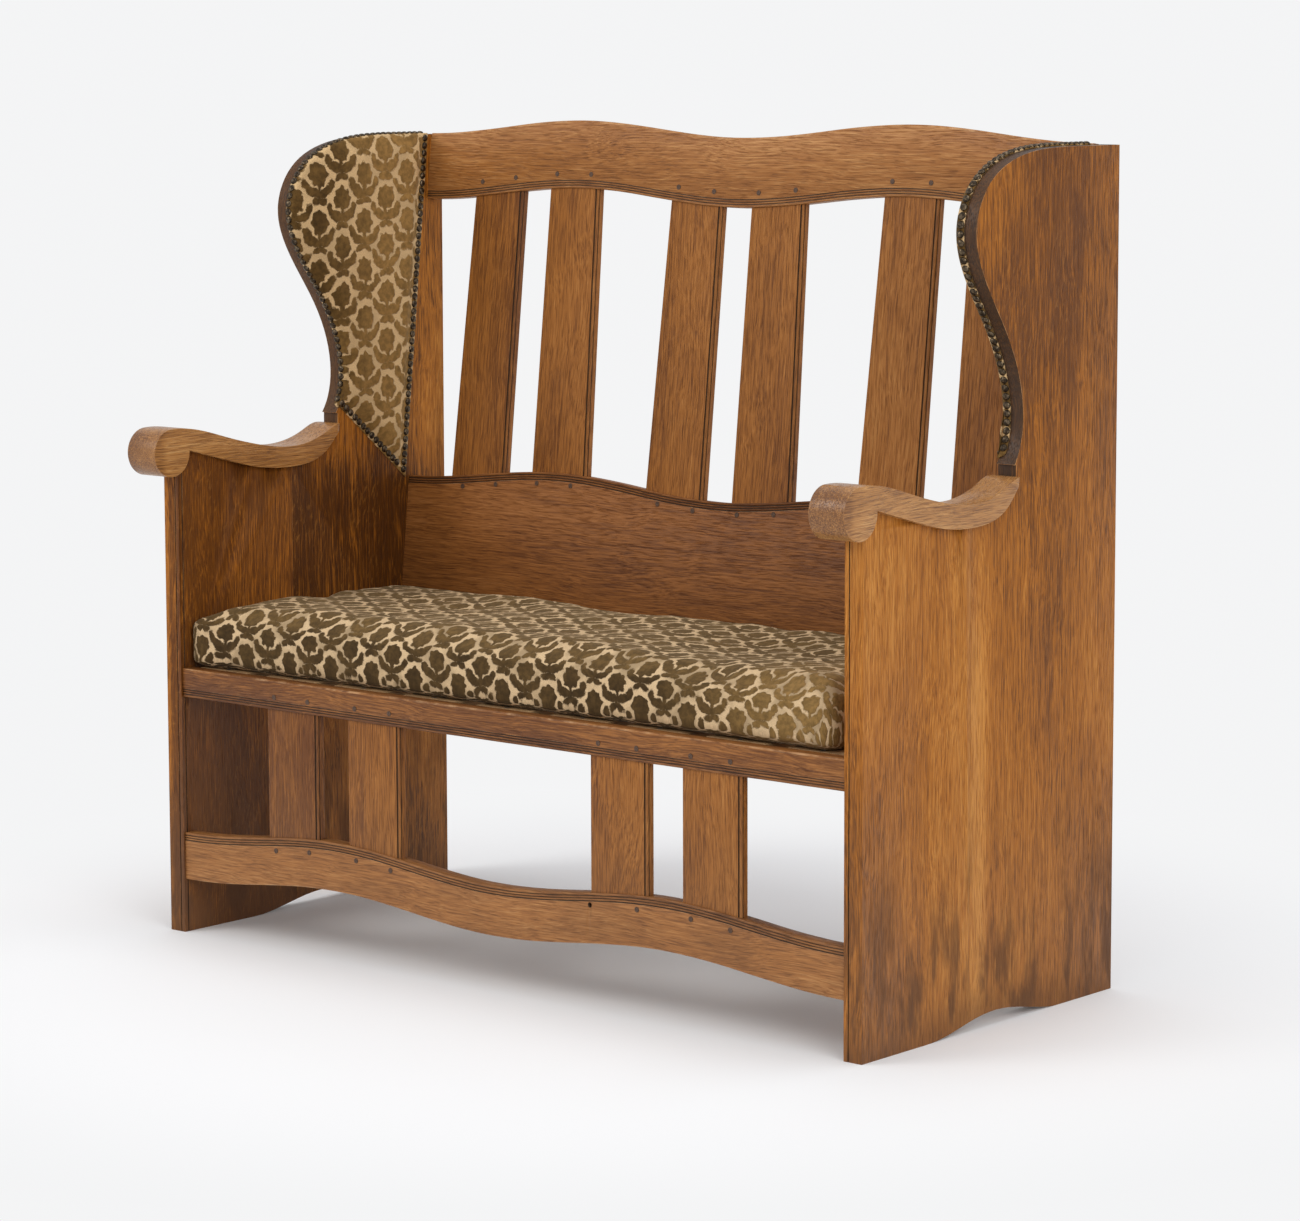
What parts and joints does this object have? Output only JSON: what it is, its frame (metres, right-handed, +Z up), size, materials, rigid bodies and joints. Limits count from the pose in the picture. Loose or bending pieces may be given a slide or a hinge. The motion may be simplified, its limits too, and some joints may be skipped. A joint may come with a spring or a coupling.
{
  "type": "mission settle",
  "caption": "Oak settle with winged ends, scrolled arms, a raked slatted back between scalloped rails, close-nailed fabric wing pads and a loose seat cushion.",
  "frame": {"origin": "centre of the footprint of the whole settle, on the floor", "axes": "+X along the seat to the sitter's left, +Y from the front to the back, +Z up"},
  "size_m": [1.245, 0.591, 1.125],
  "materials": {
    "end_oak": "waxed mid-brown oak, vertical quarter-sawn grain, worn arrises",
    "arm_oak": "waxed oak, polished by hands, greyer on top",
    "rail_oak": "waxed mid-brown oak, grain along the rail, dark in the reeds",
    "slat_oak": "waxed oak, vertical grain with flecks",
    "deck_oak": "unfinished oak under the cushion",
    "peg_oak": "dark end grain",
    "dowel_wood": "plain glued dowel",
    "wing_fabric": "woven beige cloth with a dark olive-brown sprig",
    "nail_metal": "dark bronzed dome heads with rubbed crowns",
    "screw_steel": "plain countersunk",
    "cushion_fabric": "cut velvet, beige ground with a dark olive-brown sprig"
  },
  "bodies": {
    "settle": {"left_end_front_board": "end_oak", "left_end_rear_board": "end_oak", "right_end_front_board": "end_oak", "right_end_rear_board": "end_oak", "left_arm": "arm_oak", "right_arm": "arm_oak", "back_top_rail": "rail_oak", "back_lower_board": "rail_oak", "seat_front_rail": "rail_oak", "front_lower_rail": "rail_oak", "seat_rear_rail": "rail_oak", "back_slat_1": "slat_oak", "back_slat_2": "slat_oak", "back_slat_3": "slat_oak", "back_slat_4": "slat_oak", "back_slat_5": "slat_oak", "back_slat_6": "slat_oak", "front_slat_1": "slat_oak", "front_slat_2": "slat_oak", "front_slat_3": "slat_oak", "front_slat_4": "slat_oak", "seat_slat_1": "deck_oak", "seat_slat_2": "deck_oak", "seat_slat_3": "deck_oak", "seat_slat_4": "deck_oak", "seat_slat_5": "deck_oak", "seat_slat_6": "deck_oak", "seat_slat_7": "deck_oak", "seat_slat_8": "deck_oak", "seat_slat_9": "deck_oak", "seat_front_ledger": "deck_oak", "seat_rear_ledger": "deck_oak", "back_rail_pegs": "peg_oak", "back_board_pegs": "peg_oak", "seat_rail_pegs": "peg_oak", "lower_rail_pegs": "peg_oak", "left_end_dowels": "dowel_wood", "left_arm_dowels": "dowel_wood", "right_end_dowels": "dowel_wood", "right_arm_dowels": "dowel_wood", "left_wing_pad": "wing_fabric", "right_wing_pad": "wing_fabric", "left_wing_nails": "nail_metal", "right_wing_nails": "nail_metal", "ledger_screws": "screw_steel", "seat_slat_screws": "screw_steel"},
    "seat_cushion": {"cushion": "cushion_fabric"}
  },
  "joints": [
    {"name": "cushion_slide", "type": "slide", "parent": "settle", "child": "seat_cushion", "axis": [0, -1, 0], "range_m": [0, 0.46]}
  ]
}
